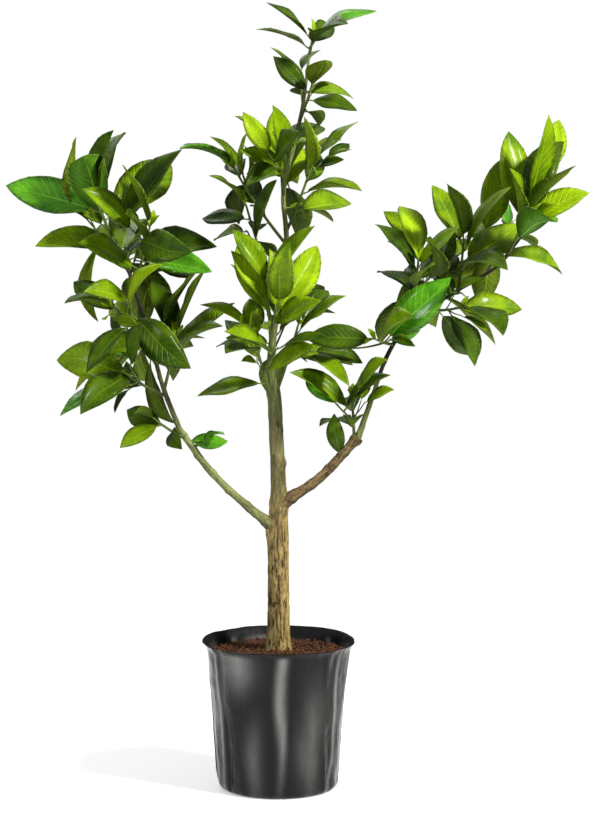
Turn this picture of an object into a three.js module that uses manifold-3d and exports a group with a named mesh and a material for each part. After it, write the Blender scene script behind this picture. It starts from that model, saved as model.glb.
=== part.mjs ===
// A young mandarin tree in a black polythene grow bag, in millimetres, +Z up.
// The origin is the centre of the bag's flat underside, and the plant's front faces -Y.

import * as THREE from 'three'
import { mergeVertices } from 'three/addons/utils/BufferGeometryUtils.js'
import Module from 'manifold-3d'

const wasm = await Module()
wasm.setup()

// The bag and what fills it
const BAG_HEIGHT = 163
const BAG_SIDES = 32
const LIP_RADIUS = 84.5
const LIP_DROP = 9
const WALL_TOP_RADIUS = 79.5
const FOOT_RADIUS = 67
const FOOT_ROUND = 9
const WALL = 2
const SOIL_LEVEL = 152
const GAP = 0.3

// The limbs: places that each one passes, as x, y, z and its radius there
const LIMBS = {
  trunk: [
    [0, 0, SOIL_LEVEL + GAP, 13.2], [0, 0, 172, 12.4], [0, 0, 225, 12], [0, 0, 286, 11.4],
    [0, 0, 338, 8.6], [-4, 0, 430, 7.6], [-7, 0, 485, 4.4], [2, 3, 546, 3.1], [9, 4, 606, 2.8],
    [6, 0, 660, 2.5], [19, -4, 715, 2.3], [28, -2, 758, 1.9], [34, 0, 807, 1.4],
  ],
  left_bough: [[-5, 0, 289, 5.2], [-37, -4, 316, 4.4], [-73, -8, 351, 4], [-108, -10, 398, 3.4]],
  left_limb: [[-108, -10, 398, 3.2], [-127, -8, 447, 2.6], [-145, -6, 513, 2.1], [-164, -4, 571, 1.6]],
  right_bough: [[4, 0, 316, 6.2], [46, -6, 345, 5.4], [88, -10, 390, 5.2]],
  right_limb: [
    [87, -10, 388, 3.6], [103, -10, 433, 2.6], [120, -8, 480, 2.3], [147, -6, 518, 2.2],
    [194, -4, 549, 2.1], [240, -2, 577, 1.8], [267, 0, 610, 1.5],
  ],
}
// What each limb is cut clear of
const CARRIERS = {
  left_bough: 'trunk', left_limb: 'left_bough', right_bough: 'trunk', right_limb: 'right_bough',
}
const LIMB_SIDES = 10
const STEPS_A_PLACE = 8
const RING_EVERY = 4

// The masses of foliage: the limb that carries each one and how far along it, the tip of its stem,
// its leaves and side twigs, the mean length of a leaf, and the seed of its rule of growth.
// start is where its leaves begin, wide and narrow how far they stand off at the foot and tip of a
// shoot, in radians, and droop how far they hang.
const HABIT = { start: 0.35, wide: 1.3, narrow: 0.45, droop: 0.1 }
const MASSES = {
  left_top: { limb: 'left_limb', at: 1, tip: [-192, 0, 634], leaves: 7, twigs: 2, leaf: 108,
    seed: 447, droop: 0, start: 0.2, wide: 1.45, narrow: 0.45 },
  left_top_right: { limb: 'left_limb', at: 0.9, tip: [-138, -36, 618], leaves: 6, twigs: 1, leaf: 96,
    seed: 270, droop: 0, wide: 1.2 },
  left_top_back: { limb: 'left_limb', at: 0.84, tip: [-176, 55, 612], leaves: 6, twigs: 2, leaf: 86,
    seed: 624 },
  left_mid: { limb: 'left_limb', at: 0.6, tip: [-177, -34, 532], leaves: 5, twigs: 1, leaf: 76,
    seed: 185, wide: 1.25, narrow: 0.6 },
  left_inner: { limb: 'left_limb', at: 0.3, tip: [-112, -6, 500], leaves: 5, twigs: 1, leaf: 84,
    seed: 288, wide: 1.05, narrow: 0.35 },
  left_back: { limb: 'left_limb', at: 0.45, tip: [-157, 60, 506], leaves: 6, twigs: 2, leaf: 82,
    seed: 381, droop: 0.2 },
  left_low: { limb: 'left_limb', at: 0.26, tip: [-172, -20, 464], leaves: 6, twigs: 1, leaf: 90,
    seed: 212, wide: 1.1, narrow: 0.5 },
  left_foot: { limb: 'left_bough', at: 0.93, tip: [-133, -26, 410], leaves: 4, twigs: 0, leaf: 56,
    seed: 473, droop: 0.5, start: 0.5 },
  left_bract: { limb: 'left_bough', at: 0.86, tip: [-84, -12, 386], leaves: 1, twigs: 0, leaf: 38,
    seed: 688, droop: 0, start: 1, wide: 0.2 },
  centre_low_left: { limb: 'trunk', at: 0.41, tip: [-28, -24, 508], leaves: 6, twigs: 1, leaf: 74,
    seed: 409, wide: 1.3, narrow: 0.7 },
  centre_low_right: { limb: 'trunk', at: 0.42, tip: [22, -14, 513], leaves: 6, twigs: 1, leaf: 80,
    seed: 898, wide: 1.3, narrow: 0.6 },
  centre_low_front: { limb: 'trunk', at: 0.47, tip: [-11, -34, 556], leaves: 7, twigs: 1, leaf: 80,
    seed: 111, wide: 1.05, narrow: 0.25, droop: -0.1 },
  centre_low_back: { limb: 'trunk', at: 0.45, tip: [-3, 50, 540], leaves: 7, twigs: 2, leaf: 78,
    seed: 705 },
  centre_side: { limb: 'trunk', at: 0.57, tip: [-35, -8, 644], leaves: 6, twigs: 1, leaf: 74,
    seed: 122, droop: 0.45 },
  centre_high_left: { limb: 'trunk', at: 0.66, tip: [-48, 4, 684], leaves: 6, twigs: 2, leaf: 68,
    seed: 81, wide: 1.4, narrow: 0.5 },
  centre_high_right: { limb: 'trunk', at: 0.68, tip: [37, -12, 687], leaves: 6, twigs: 1, leaf: 76,
    seed: 23, wide: 1.4, narrow: 0.5 },
  centre_high_mid: { limb: 'trunk', at: 0.74, tip: [10, -32, 704], leaves: 7, twigs: 1, leaf: 68,
    seed: 269, wide: 1.1, narrow: 0.15, droop: -0.2 },
  centre_high_back: { limb: 'trunk', at: 0.66, tip: [2, 48, 700], leaves: 7, twigs: 2, leaf: 74,
    seed: 378 },
  top_low: { limb: 'trunk', at: 0.87, tip: [36, -20, 770], leaves: 5, twigs: 0, leaf: 66,
    seed: 96, droop: 0.5 },
  top_back: { limb: 'trunk', at: 0.91, tip: [24, 28, 792], leaves: 4, twigs: 0, leaf: 60,
    seed: 793 },
  top_mass: { limb: 'trunk', at: 1, tip: [38, 0, 826], leaves: 5, twigs: 0, leaf: 66,
    seed: 842, wide: 1.4, narrow: 0.6, droop: 0 },
  right_foot: { limb: 'right_bough', at: 0.95, tip: [81, -22, 434], leaves: 6, twigs: 1, leaf: 68,
    seed: 158, wide: 1.2, narrow: 0.45 },
  right_low: { limb: 'right_limb', at: 0.38, tip: [106, -30, 498], leaves: 5, twigs: 1, leaf: 90,
    seed: 385, wide: 1.3, narrow: 0.7 },
  right_fork: { limb: 'right_limb', at: 0.5, tip: [153, -12, 582], leaves: 7, twigs: 1, leaf: 74,
    seed: 496, wide: 1.3, narrow: 0.35 },
  right_mid: { limb: 'right_limb', at: 0.68, tip: [203, -6, 604], leaves: 7, twigs: 1, leaf: 80,
    seed: 63, wide: 1.15, narrow: 0.25 },
  right_mid_back: { limb: 'right_limb', at: 0.56, tip: [182, 58, 583], leaves: 6, twigs: 2, leaf: 78,
    seed: 336 },
  right_under: { limb: 'right_limb', at: 0.56, tip: [196, -34, 532], leaves: 5, twigs: 0, leaf: 90,
    seed: 303, droop: 0.35, wide: 1.2, narrow: 0.5 },
  right_top_left: { limb: 'right_limb', at: 0.9, tip: [270, -16, 634], leaves: 8, twigs: 1, leaf: 94,
    seed: 310, wide: 1.05, narrow: 0.2, droop: -0.1 },
  right_top: { limb: 'right_limb', at: 1, tip: [294, 0, 672], leaves: 2, twigs: 0, leaf: 74,
    seed: 328, start: 0.75, wide: 0.4, narrow: 0.1, droop: -0.1 },
  right_top_back: { limb: 'right_limb', at: 0.78, tip: [255, 48, 616], leaves: 6, twigs: 1, leaf: 78,
    seed: 96 },
}

// How a shoot grows
const GOLDEN_ANGLE = 137.5 * Math.PI / 180
const ASKEW = new THREE.Vector3(0.48, 0.6, -0.64)
const STEM_STEPS = 12
const STEM_SAG = 0.08
const STEM_RADII = [2.2, 1.5]
const STEM_SIDES = 3
const STEM_RING_EVERY = 3
const TWIG_SHARE = 0.42
const TWIG_LEAVES = 3
const TWIG_STEPS = 4
const TWIG_RADII = [1.4, 1.1]
const TWIG_SIDES = 3
const PAST_LAST_LEAF = 1.5
const LEAF_TRIES = 3
const LIGHT = new THREE.Vector3(-0.1, -1.1, 0.25)

// The shape of a leaf, as shares of its length
const HALF_WIDTH = 0.235
const STALK = 0.13
const THICKNESS = 0.014
const STALK_RADIUS = 0.5
const LEAF_STATIONS = [0.04, 0.3, 0.64, 1]
const TIP_HALF_WIDTH = 0.7
const SAMPLE_ROWS = 9
const INNER_SAMPLES = 16

// The clear space round limbs, other masses and the mass's own leaves
const CLEAR_OF_LIMBS = 3
const CLEAR_OF_OTHERS = 8.5
const CLEAR_OF_OWN = 5
const CLEAR_OF_SOIL = 20
const FOOT_ZONE = 14

const UP = new THREE.Vector3(0, 0, 1)

// Two directions square to a heading, which turn with it from x to y
function squareTo(heading) {
  const a = new THREE.Vector3().crossVectors(heading, ASKEW).normalize()
  return [a, new THREE.Vector3().crossVectors(heading, a)]
}

// A heading leaned over by one angle and turned about its old self by the other
function turned(heading, lean, turn) {
  const [a, b] = squareTo(heading)
  return heading.clone().multiplyScalar(Math.cos(lean))
    .addScaledVector(a, Math.sin(lean) * Math.cos(turn))
    .addScaledVector(b, Math.sin(lean) * Math.sin(turn))
}

// Numbers from -1 to 1, the same for each seed
function generator(seed) {
  let state = seed
  const vary = () => {
    state = (Math.imul(1664525, state) + 1013904223) >>> 0
    return 2 * state / 2 ** 32 - 1
  }
  for (let i = 0; i < 3; i++) vary()
  return vary
}

// A closed skin over rings of points, each of which turns from x to y about the way the rings run.
// The second half of each ring is split the other way, so that a thin blade's two sides fold alike.
function loft(rings) {
  const around = rings[0].length
  const last = (rings.length - 1) * around
  const index = []
  for (let start = 0; start < last; start += around) {
    for (let j = 0; j < around; j++) {
      const a = start + j
      const b = start + (j + 1) % around
      const c = b + around
      const d = a + around
      if (j < around / 2) index.push(a, b, c, a, c, d)
      else index.push(a, b, d, b, c, d)
    }
  }
  for (let j = 1; j < around - 1; j++) {
    index.push(0, j + 1, j, last, last + j, last + j + 1)
  }
  const geometry = new THREE.BufferGeometry().setFromPoints(rings.flat())
  geometry.setIndex(index)
  return geometry
}

function toSolid(geometry) {
  geometry.deleteAttribute('normal')
  geometry.deleteAttribute('uv')
  const merged = mergeVertices(geometry)
  return new wasm.Manifold(new wasm.Mesh({
    numProp: 3,
    vertProperties: merged.attributes.position.array,
    triVerts: Uint32Array.from(merged.index.array),
  }))
}

// The largest body of a solid, with any sealed hollow in it filled
function toGeometry(solid) {
  const [largest] = solid.decompose().sort((a, b) => b.volume() - a.volume())
  const mesh = largest.getMesh()
  const geometry = new THREE.BufferGeometry()
  geometry.setAttribute('position', new THREE.BufferAttribute(mesh.vertProperties, 3))
  geometry.setIndex(Array.from(mesh.triVerts))
  return geometry
}

// A round limb or twig: a ring of points square to the path at each of its points
function tube(path, radii, sides) {
  const rings = path.map((point, i) => {
    const before = path[Math.max(i - 1, 0)]
    const after = path[Math.min(i + 1, path.length - 1)]
    const [a, b] = squareTo(after.clone().sub(before).normalize())
    return Array.from({ length: sides }, (_, j) => {
      const angle = 2 * Math.PI * j / sides
      return point.clone()
        .addScaledVector(a, radii[i] * Math.cos(angle))
        .addScaledVector(b, radii[i] * Math.sin(angle))
    })
  })
  return loft(rings)
}

// A limb's points and radii, on an even curve through its places
function limbLine(places) {
  const steps = STEPS_A_PLACE * (places.length - 1)
  const even = (points) => new THREE.CatmullRomCurve3(points, false, 'catmullrom', 0.5)
  const line = even(places.map(([x, y, z]) => new THREE.Vector3(x, y, z)))
  const girth = even(places.map(([, , , radius]) => new THREE.Vector3(radius, 0, 0)))
  const shares = Array.from({ length: steps + 1 }, (_, i) => i / steps)
  return { points: shares.map((t) => line.getPoint(t)), radii: shares.map((t) => girth.getPoint(t).x) }
}

// The limb's solid, fattened and lengthened by a clearance where something is cut clear of it
function limbSolid(line, clearance = 0) {
  const kept = (_, i) => i % RING_EVERY === 0
  const points = line.points.filter(kept).map((p) => p.clone())
  const end = points.length - 1
  const onward = points[end].clone().sub(points[end - 1]).normalize()
  points[end].addScaledVector(onward, clearance)
  return toSolid(tube(points, line.radii.filter(kept).map((r) => r + clearance), LIMB_SIDES))
}

// The point at a share of the way along a path, and the heading there
function along(path, place) {
  const k = place * (path.length - 1)
  const i = Math.min(Math.floor(k), path.length - 2)
  const step = path[i + 1].clone().sub(path[i])
  return { point: path[i].clone().addScaledVector(step, k - i), heading: step.normalize() }
}

function bend(from, by, to, steps) {
  return new THREE.QuadraticBezierCurve3(from, by, to).getPoints(steps)
}

// A mass's stem, which sags a little between its foot in the limb and its tip
function stemOf(mass) {
  const foot = along(lines[mass.limb].points, mass.at).point
  const tip = new THREE.Vector3(...mass.tip)
  const middle = foot.clone().add(tip).divideScalar(2)
  middle.z -= STEM_SAG * foot.distanceTo(tip)
  return bend(foot, middle, tip, STEM_STEPS)
}

// A point of a blade that arches back along its length and folds up along its midrib:
// t is the share of its length, and across runs from -1 at one edge to 1 at the other
function bladePoint({ base, heading, face, length, curl, fold }, t, across) {
  const side = new THREE.Vector3().crossVectors(face, heading)
  const angle = curl * t
  const up = face.clone().multiplyScalar(Math.cos(angle)).addScaledVector(heading, Math.sin(angle))
  const width = length * HALF_WIDTH * Math.sin(Math.PI * t ** 0.92) ** (0.72 + 0.2 * t)
  return base.clone()
    .addScaledVector(heading, length * Math.sin(angle) / curl)
    .addScaledVector(face, -length * (1 - Math.cos(angle)) / curl)
    .addScaledVector(side, width * across * Math.cos(fold))
    .addScaledVector(up, width * Math.abs(across) * Math.sin(fold))
}

// The middle of a leaf's stalk, then rows of points over its blade, from the base to the tip
function leafSamples(leaf) {
  const samples = [leaf.root.clone().add(leaf.base).divideScalar(2)]
  for (let row = 1; row <= SAMPLE_ROWS; row++) {
    const t = 0.97 * row / SAMPLE_ROWS
    for (const across of [-1, -0.5, 0, 0.5, 1]) samples.push(bladePoint(leaf, t, across))
  }
  return samples
}

// The leaf with its stalk: rings of left edge, top, right edge and underside
function leafSolid(leaf) {
  const { root, heading, face, length, curl } = leaf
  const side = new THREE.Vector3().crossVectors(face, heading)
  const half = length * THICKNESS / 2
  const stalk = [side, face].flatMap((v) => [v.clone(), v.clone().negate()])
  const rings = [[stalk[0], stalk[2], stalk[1], stalk[3]]
    .map((v) => v.multiplyScalar(STALK_RADIUS).add(root))]
  for (const t of LEAF_STATIONS) {
    const up = face.clone().multiplyScalar(Math.cos(curl * t)).addScaledVector(heading, Math.sin(curl * t))
    const rib = bladePoint(leaf, t, 0)
    const edges = [1, -1].map((across) => (
      t < 1 ? bladePoint(leaf, t, across) : rib.clone().addScaledVector(side, across * TIP_HALF_WIDTH)
    ))
    rings.push([
      edges[0], rib.clone().addScaledVector(up, half), edges[1], rib.clone().addScaledVector(up, -half),
    ])
  }
  return toSolid(loft(rings))
}

function nearest(points, others) {
  let least = Infinity
  for (const p of points) {
    for (const q of others) least = Math.min(least, p.distanceToSquared(q))
  }
  return Math.sqrt(least)
}

function touchesLimb(points, foot, own) {
  return Object.entries(lines).some(([name, { points: centres, radii }]) => {
    const tested = name === own ? points.filter((p) => p.distanceTo(foot) > FOOT_ZONE) : points
    return tested.some((p) => centres.some((c, i) => p.distanceTo(c) - radii[i] < CLEAR_OF_LIMBS))
  })
}

// One mass by its seeded rule: side twigs off the stem, then leaves in a golden-angle spiral up each
// shoot. others holds points of the other masses; a twig or leaf that would come near them is skipped.
function grow(mass, others) {
  const { limb, leaves: count, twigs, leaf: size, seed, start, wide, narrow, droop } = { ...HABIT, ...mass }
  const vary = generator(seed)
  const stem = stemOf(mass)
  const foot = stem[0]
  const shoots = [{ path: stem, count, start }]
  const own = stem.slice(2)
  const spin = Math.PI * vary()
  for (let i = 0; i < twigs; i++) {
    const { point, heading } = along(stem, 0.3 + 0.45 * (i + 0.5) / twigs)
    const out = turned(heading, 0.75 + 0.2 * vary(), spin + GOLDEN_ANGLE * (i + 0.5))
    const span = TWIG_SHARE * size * (1 + 0.2 * vary())
    const middle = point.clone().addScaledVector(out, 0.5 * span)
    const tip = point.clone().addScaledVector(out, span).addScaledVector(UP, 0.15 * span)
    const path = bend(point, middle, tip, TWIG_STEPS)
    if (touchesLimb(path.slice(1), foot, limb) || nearest(path, others) < CLEAR_OF_OTHERS) continue
    shoots.push({ path, count: TWIG_LEAVES, start: 0.5 })
    own.push(...path.slice(1))
  }
  const leaves = []
  for (const shoot of shoots) {
    const turnOfFirst = Math.PI * vary()
    for (let j = 0; j < shoot.count; j++) {
      const share = j / Math.max(shoot.count - 1, 1)
      const { point: root, heading: growth } = along(shoot.path, shoot.start + (1 - shoot.start) * share)
      const length = size * (1 - 0.12 * share) * (1 + 0.2 * vary())
      for (let tries = 0; tries < LEAF_TRIES; tries++) {
        const lean = wide + (narrow - wide) * share + 0.22 * vary()
        const turn = turnOfFirst + GOLDEN_ANGLE * j + 0.3 * vary() + 0.5 * tries
        const heading = turned(growth, lean, turn).addScaledVector(UP, -droop - 0.15 * vary()).normalize()
        const toTip = growth.clone().addScaledVector(heading, -heading.dot(growth)).normalize()
        const level = toTip.add(LIGHT)
        level.addScaledVector(heading, -level.dot(heading)).normalize()
        const roll = 0.5 * vary()
        const face = level.clone().multiplyScalar(Math.cos(roll))
          .addScaledVector(new THREE.Vector3().crossVectors(heading, level), Math.sin(roll))
        const curl = 0.45 + 0.35 * vary()
        const fold = 0.38 + 0.2 * vary()
        const base = root.clone().addScaledVector(heading, STALK * length)
        const leaf = { root, base, heading, face, length, curl, fold }
        const samples = leafSamples(leaf)
        const outer = samples.slice(INNER_SAMPLES)
        if (samples.some((p) => p.z < SOIL_LEVEL + CLEAR_OF_SOIL)) continue
        if (touchesLimb(samples, foot, limb)) continue
        if (nearest(samples, others) < CLEAR_OF_OTHERS) continue
        if (nearest(outer, own) < CLEAR_OF_OWN) continue
        own.push(...outer)
        leaves.push({ leaf, samples })
        break
      }
    }
  }
  return { stem, twigs: shoots.slice(1).map((shoot) => shoot.path), leaves }
}

// A stem or twig, which runs on a little past its last leaf
function shootSolid(path, [thick, thin], sides) {
  const last = path.length - 1
  const onward = path[last].clone().sub(path[last - 1]).normalize()
  const points = [...path.slice(0, last), path[last].clone().addScaledVector(onward, PAST_LAST_LEAF)]
  return toSolid(tube(points, points.map((_, i) => thick + (thin - thick) * i / last), sides))
}

// Stem, twigs and leaves in one piece, cut 0.3 mm clear of the limb that carries them
function massSolid({ stem, twigs, leaves }, limb) {
  const parts = [
    ...twigs.map((path) => shootSolid(path, TWIG_RADII, TWIG_SIDES)),
    ...leaves.map(({ leaf }) => leafSolid(leaf)),
  ]
  const whole = parts.reduce(
    (sum, part) => sum.add(part),
    shootSolid(stem.filter((_, i) => i % STEM_RING_EVERY === 0), STEM_RADII, STEM_SIDES),
  )
  return whole.subtract(limbSolid(lines[limb], GAP))
}

// The bag's outer radius at a height, below its lip
function wallRadius(z) {
  return FOOT_RADIUS + (WALL_TOP_RADIUS - FOOT_RADIUS) * z / (BAG_HEIGHT - LIP_DROP)
}

function roundedFoot(radius, floor, round) {
  return [0, 45, 90].map((degrees) => {
    const angle = degrees * Math.PI / 180
    return [radius - round + round * Math.sin(angle), floor + round * (1 - Math.cos(angle))]
  })
}

function turnedSolid(profile) {
  const points = profile.map(([r, z]) => new THREE.Vector2(r, z))
  const geometry = new THREE.LatheGeometry(points, BAG_SIDES)
  return toSolid(geometry.rotateX(Math.PI / 2))
}

function bagSolid() {
  const outside = [
    [0, 0],
    ...roundedFoot(wallRadius(FOOT_ROUND), 0, FOOT_ROUND),
    [wallRadius(BAG_HEIGHT / 2), BAG_HEIGHT / 2],
    [WALL_TOP_RADIUS, BAG_HEIGHT - LIP_DROP],
    [WALL_TOP_RADIUS + 2, BAG_HEIGHT - 3],
    [LIP_RADIUS, BAG_HEIGHT],
  ]
  const inside = [
    [LIP_RADIUS - WALL, BAG_HEIGHT + WALL / 4],
    [WALL_TOP_RADIUS - WALL, BAG_HEIGHT - 2],
    [wallRadius(SOIL_LEVEL) - WALL, SOIL_LEVEL],
    [wallRadius(BAG_HEIGHT / 2) - WALL, BAG_HEIGHT / 2],
    ...roundedFoot(wallRadius(FOOT_ROUND) - WALL, WALL, FOOT_ROUND - WALL).reverse(),
    [0, WALL],
  ]
  return turnedSolid([...outside, ...inside])
}

function soilSolid() {
  const inset = WALL + GAP
  return turnedSolid([
    [0, inset],
    ...roundedFoot(wallRadius(FOOT_ROUND) - inset, inset, FOOT_ROUND - inset),
    [wallRadius(BAG_HEIGHT / 2) - inset, BAG_HEIGHT / 2],
    [wallRadius(SOIL_LEVEL) - inset, SOIL_LEVEL],
    [0, SOIL_LEVEL],
  ])
}

const lines = Object.fromEntries(Object.entries(LIMBS).map(([name, places]) => [name, limbLine(places)]))
const tree = new THREE.Group()

function place(name, solid, colour, roughness) {
  const mesh = new THREE.Mesh(
    toGeometry(solid),
    new THREE.MeshStandardMaterial({ color: colour, roughness, metalness: 0 }),
  )
  mesh.name = name
  tree.add(mesh)
}

place('grow_bag', bagSolid(), 0x151618, 0.3)
place('soil', soilSolid(), 0x3b261c, 0.95)

const BARK = 0x8b7a4e
const GREEN_BARK = 0x6d7a3c
for (const [name, line] of Object.entries(lines)) {
  const carrier = CARRIERS[name]
  const solid = limbSolid(line)
  const colour = name === 'trunk' || name === 'right_bough' ? BARK : GREEN_BARK
  place(name, carrier ? solid.subtract(limbSolid(lines[carrier], GAP)) : solid, colour, 0.8)
}

const stems = Object.fromEntries(Object.entries(MASSES).map(([name, mass]) => [name, stemOf(mass)]))
const laid = []
const LEAF_GREENS = [0x3c7a1a, 0x4d8a22, 0x2f6a1c]
for (const [i, [name, mass]] of Object.entries(MASSES).entries()) {
  const otherStems = Object.entries(stems).filter(([other]) => other !== name).flatMap(([, stem]) => stem)
  const grown = grow(mass, [...otherStems, ...laid])
  place(name, massSolid(grown, mass.limb), LEAF_GREENS[i % LEAF_GREENS.length], 0.4)
  laid.push(...grown.leaves.flatMap(({ samples }) => samples))
  laid.push(...grown.twigs.flatMap((path) => path.slice(1)))
}

export default tree
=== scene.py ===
"""A young mandarin tree in a black polythene grow bag, on a pale floor in studio light.

Lengths are worked out in millimetres, as in the part's source, and MM turns them into metres when a
mesh is made. +Z is up and the front of the plant faces -Y.
"""
import math

import bpy
import numpy as np
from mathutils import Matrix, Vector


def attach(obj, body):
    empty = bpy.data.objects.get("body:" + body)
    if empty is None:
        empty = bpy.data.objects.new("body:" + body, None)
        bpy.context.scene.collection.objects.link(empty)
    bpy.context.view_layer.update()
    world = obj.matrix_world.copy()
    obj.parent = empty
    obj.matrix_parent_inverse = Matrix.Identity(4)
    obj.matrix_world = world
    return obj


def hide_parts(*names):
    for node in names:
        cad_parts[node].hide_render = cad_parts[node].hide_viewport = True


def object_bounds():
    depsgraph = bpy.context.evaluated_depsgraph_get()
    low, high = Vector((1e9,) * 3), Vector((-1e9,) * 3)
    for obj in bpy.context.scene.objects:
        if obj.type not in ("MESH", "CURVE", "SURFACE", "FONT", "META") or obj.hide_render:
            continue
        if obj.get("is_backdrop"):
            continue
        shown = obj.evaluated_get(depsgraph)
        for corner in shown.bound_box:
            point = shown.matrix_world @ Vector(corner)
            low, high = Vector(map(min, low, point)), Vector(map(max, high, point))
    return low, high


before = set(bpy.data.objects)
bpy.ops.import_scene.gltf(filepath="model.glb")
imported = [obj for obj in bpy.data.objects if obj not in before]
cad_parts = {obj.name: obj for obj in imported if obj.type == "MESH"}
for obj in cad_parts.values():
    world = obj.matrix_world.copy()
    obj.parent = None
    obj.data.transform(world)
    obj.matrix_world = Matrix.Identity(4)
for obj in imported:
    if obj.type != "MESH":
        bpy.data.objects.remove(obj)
solids_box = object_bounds()

# The camera
# It stands at eye level with the crown, 2.2 m off, and looks a little down, so that the bag's mouth
# shows as a narrow ring.
MM = 0.001
CAMERA_PLACE = (24, -2200, 547)
CAMERA_PITCH = math.radians(3.34)
PIXELS_TALL = 821
FOCAL_PIXELS = 2000
SENSOR = 36
FARTHEST_SEEN = 100


def set_out(name, data):
    """An object of the given data, linked to the scene."""
    thing = bpy.data.objects.new(name, data)
    bpy.context.collection.objects.link(thing)
    return thing


lens = bpy.data.cameras.new("studio_camera")
lens.sensor_width = SENSOR
lens.lens = SENSOR * FOCAL_PIXELS / PIXELS_TALL
lens.clip_end = FARTHEST_SEEN
camera = set_out("studio_camera", lens)
camera.location = [v * MM for v in CAMERA_PLACE]
camera.rotation_euler = (math.pi / 2 - CAMERA_PITCH, 0, 0)
bpy.context.scene.camera = camera

# The grow bag
# Thin black polythene film, gusseted and heat sealed, which soft creases run down and whose mouth
# flares out round the soil. It stands on its flat bottom.
BAG_HEIGHT = 163
LIP_RADIUS = 84.3
LIP_DROP = 9
WALL_TOP_RADIUS = 79.5
FOOT_RADIUS = 67
FOOT_ROUND = 9
SOIL_LEVEL = 152
FILM = 0.7
LIP_CURVE = 1.6
FOLD_LEAST = -2.2
BACK_RISE = 4
BACK_CURVE = 1.7
BACK_LIFTED = (100, 160)
LOOSE_FROM = (0, 14)
LOOSE_OUTSIDE = (45, 65)
SUNK_IN = 1.2
MOUTH_ZONE = 14
MOUTH_HOLD = 0.6
RIM_WAVE = 0.9
RIM_FULLNESS = 0.15
INSIDE_DEPTH = 7
COVER_DEPTH = 8
COVER_RADIUS = 70
CAP_RADIUS = 8
BAG_COLUMNS = 360
WALL_ROWS = 110


def turns_and_rows(columns, rows):
    """Grid of turns u, from 0 to 1 round the piece, and shares v, from 0 to 1 along it: (rows, columns)."""
    return np.meshgrid(np.arange(columns) / columns, np.linspace(0, 1, rows))


def ramp(x, low, high):
    """0 up to low and 1 from high on, straight between them; low may be the higher of the two."""
    return np.clip((x - low) / (high - low), 0, 1)


def round_z(radius, u, height):
    """Points (radius cos 2 pi u, radius sin 2 pi u, height)."""
    return np.stack([radius * np.cos(2 * math.pi * u), radius * np.sin(2 * math.pi * u), height], -1)


def grain(u, v, around, seed):
    """Smooth random heights from -1 to 1: random numbers on a lattice with around cells to a turn of u
    and a cell to each unit of v, blended from cell to cell by 3t^2 - 2t^3."""
    lattice = np.random.default_rng(seed).uniform(-1, 1, (int(v.max()) + 3, around))
    x = (u % 1) * around
    i, j = x.astype(int) % around, v.astype(int)
    s, t = x - np.floor(x), v - j
    s, t = s * s * (3 - 2 * s), t * t * (3 - 2 * t)
    k = (i + 1) % around
    low = lattice[j, i] * (1 - s) + lattice[j, k] * s
    high = lattice[j + 1, i] * (1 - s) + lattice[j + 1, k] * s
    return low * (1 - t) + high * t


def layered(u, run, layers):
    """Sum of grains, each given by its height, a cell's length, its cells to a turn and its seed."""
    return sum(height * grain(u, run / length, around, seed) for height, length, around, seed in layers)


def bump(x, centre, width):
    """Bell curve exp(-((x - centre) / width)^2)."""
    return np.exp(-(((x - centre) / width) ** 2))


def away(u, turn):
    """Signed turns from a place on the circle, from -0.5 to 0.5."""
    return (u - turn + 0.5) % 1 - 0.5


def grid_faces(rows, columns):
    """Four-sided faces of a grid of points, row by row, whose last column joins its first."""
    i, j = np.meshgrid(np.arange(rows - 1), np.arange(columns), indexing="ij")
    k = (j + 1) % columns
    corners = [i * columns + j, i * columns + k, (i + 1) * columns + k, (i + 1) * columns + j]
    return np.stack(corners, -1).reshape(-1, 4)


def closed_skin(rings):
    """Points and faces of a skin over rings of points (rings, columns, 3), closed by a point at each end."""
    rows, columns = rings.shape[:2]
    points = np.vstack([rings.reshape(-1, 3), rings[0].mean(0), rings[-1].mean(0)])
    foot, tip = rows * columns, rows * columns + 1
    j = np.arange(columns)
    k = (j + 1) % columns
    last = (rows - 1) * columns
    foot_fan = np.stack([k, j, foot + 0 * j], -1)
    tip_fan = np.stack([last + j, last + k, tip + 0 * j], -1)
    return points, [*grid_faces(rows, columns).tolist(), *foot_fan.tolist(), *tip_fan.tolist()]


def with_ends(values):
    """Values of rings, each with two more for the points that close the ends."""
    return {key: np.concatenate([v.ravel(), v[0, :1], v[-1, :1]]) for key, v in values.items()}


def make_piece(name, points, faces, materials, stands_for=(), uv=None, values=None, kinds=None):
    """A smooth mesh from points in millimetres. uv and values hold one entry a point, kinds one a face."""
    mesh = bpy.data.meshes.new(name)
    mesh.from_pydata((np.asarray(points) * MM).tolist(), [], faces)
    for material in materials:
        mesh.materials.append(material)
    mesh.polygons.foreach_set("use_smooth", np.ones(len(mesh.polygons), bool))
    if kinds is not None:
        mesh.polygons.foreach_set("material_index", np.asarray(kinds, np.int32))
    if uv is not None:
        corners = np.empty(len(mesh.loops), np.int32)
        mesh.loops.foreach_get("vertex_index", corners)
        mesh.uv_layers.new(name="blade").data.foreach_set("uv", np.asarray(uv, np.float32)[corners].ravel())
    for key, value in (values or {}).items():
        layer = mesh.attributes.new(key, "FLOAT", "POINT")
        layer.data.foreach_set("value", np.asarray(value, np.float32).ravel())
    mesh.update()
    piece = set_out(name, mesh)
    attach(piece, "root")
    if stands_for:
        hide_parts(*stands_for)


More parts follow.
